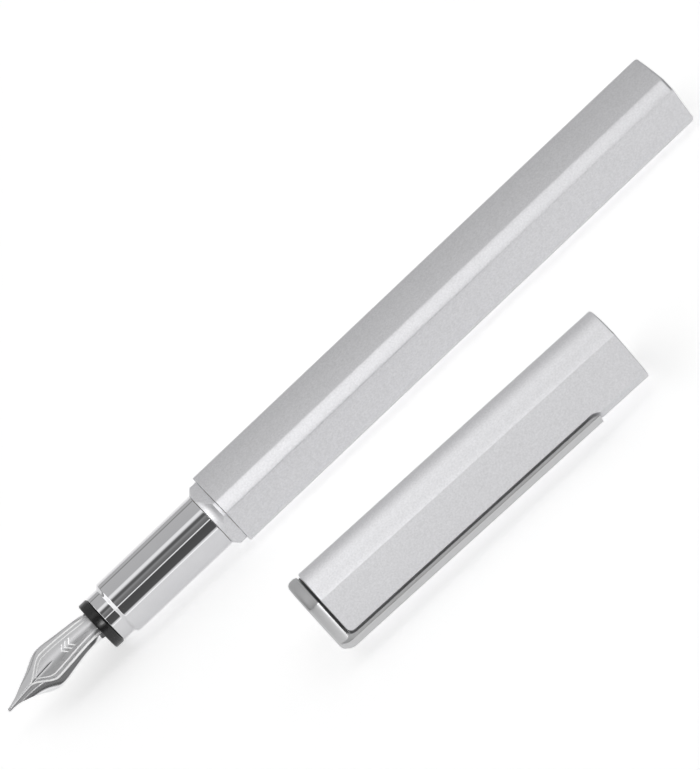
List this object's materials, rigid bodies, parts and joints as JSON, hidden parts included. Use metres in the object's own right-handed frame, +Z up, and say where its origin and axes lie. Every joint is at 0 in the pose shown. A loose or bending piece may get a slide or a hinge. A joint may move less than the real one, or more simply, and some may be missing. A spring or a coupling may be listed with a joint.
{
  "type": "fountain pen",
  "caption": "Fountain pen with a slit nib, polished grip and four-sided barrel holding a screw piston converter, lying beside its clip cap.",
  "frame": {"origin": "middle of the barrel's lower flat, which lies on the table", "axes": "+X along the pen from the nib to the barrel's far end, +Y away from the cap, +Z up"},
  "size_m": [0.124, 0.0418, 0.0117],
  "materials": {
    "matte_aluminium": "bead-blasted and anodised, matte silver",
    "polished_chrome": "polished chrome plate",
    "nib_steel": "polished stainless steel with engraved lines",
    "satin_steel": "satin stainless steel",
    "brass": "turned brass",
    "black_plastic": "moulded, fine matte",
    "black_rubber": "smooth black rubber",
    "clear_plastic": "clear moulded plastic"
  },
  "bodies": {
    "barrel": {"barrel": "matte_aluminium", "barrel_end_cap": "polished_chrome"},
    "seal": {"barrel_seal": "black_rubber"},
    "section": {"grip_section": "polished_chrome", "collar_ring": "matte_aluminium", "thread_tail": "brass", "cap_seal_ring": "black_rubber", "nib_housing": "black_plastic", "nib": "nib_steel", "feed": "black_plastic", "converter_mouth": "black_plastic", "converter_tube": "clear_plastic", "converter_ferrule": "satin_steel"},
    "knob": {"converter_knob": "black_plastic"},
    "piston": {"piston_head": "black_plastic", "piston_rod": "satin_steel", "piston_seal_front": "black_rubber", "piston_seal_rear": "black_rubber"},
    "cap": {"cap_shell": "matte_aluminium", "inner_cap": "black_plastic", "clip_screw": "brass", "clip_spacer": "black_plastic", "cap_end_plate": "satin_steel"},
    "clip": {"clip_arm": "satin_steel"}
  },
  "joints": [
    {"name": "section_turn", "type": "hinge", "parent": "barrel", "child": "seal", "pos_m": [0, 0, 0.0048], "axis": [-1, 0, 0], "range_deg": [0, 2160]},
    {"name": "section_pull", "type": "slide", "parent": "seal", "child": "section", "axis": [-1, 0, 0], "range_m": [0, 0.065]},
    {"name": "knob_turn", "type": "hinge", "parent": "section", "child": "knob", "pos_m": [0, 0, 0.0048], "axis": [1, 0, 0], "range_deg": [0, 2888]},
    {"name": "piston_slide", "type": "slide", "parent": "section", "child": "piston", "axis": [-1, 0, 0], "range_m": [0, 0.02]},
    {"name": "cap_slide", "type": "slide", "parent": "barrel", "child": "cap", "axis": [-0.9994, 0.0349, 0], "range_m": [0, 0.096]},
    {"name": "clip_flex", "type": "hinge", "parent": "cap", "child": "clip", "pos_m": [-0.03887, -0.03484, 0.00343], "axis": [0.0137, 0.3937, -0.9191], "range_deg": [0, 3], "stiffness_Nm_per_rad": 2.9}
  ],
  "couplings": [
    {"joint": "knob_turn", "follows": "piston_slide", "rad_per_m": 2513.3}
  ]
}
